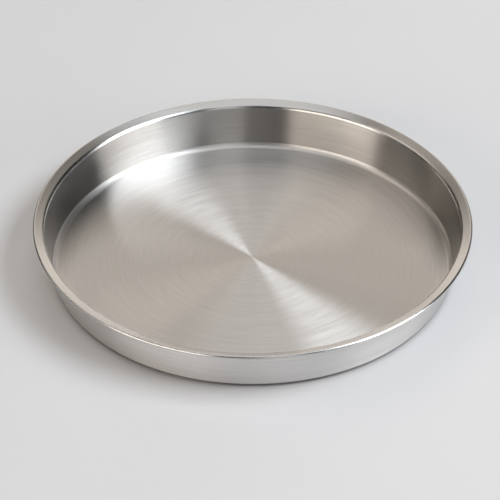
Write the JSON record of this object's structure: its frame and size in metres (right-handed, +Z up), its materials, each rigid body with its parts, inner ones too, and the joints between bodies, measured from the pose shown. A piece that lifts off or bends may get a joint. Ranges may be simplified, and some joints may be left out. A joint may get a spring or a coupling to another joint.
{
  "type": "round metal pan",
  "caption": "Shallow round stainless steel pan with a flat brushed floor, a low leaning wall and a polished sloping lip rolled over at its edge; open on top, stands flat.",
  "frame": {"origin": "middle of the flat underside, at the height of the surface the pan stands on", "axes": "+Z up along the pan's axis, out of its open side; X and Y are alike, because the pan is round"},
  "size_m": [0.3, 0.3, 0.035],
  "materials": {
    "pan_steel": "stainless steel, brushed in rings on the floor and round the wall, polished on the lip",
    "wire_steel": "plain drawn wire, out of sight"
  },
  "bodies": {
    "root": {"pan_shell": "pan_steel", "rim_wire": "wire_steel"}
  },
  "joints": []
}
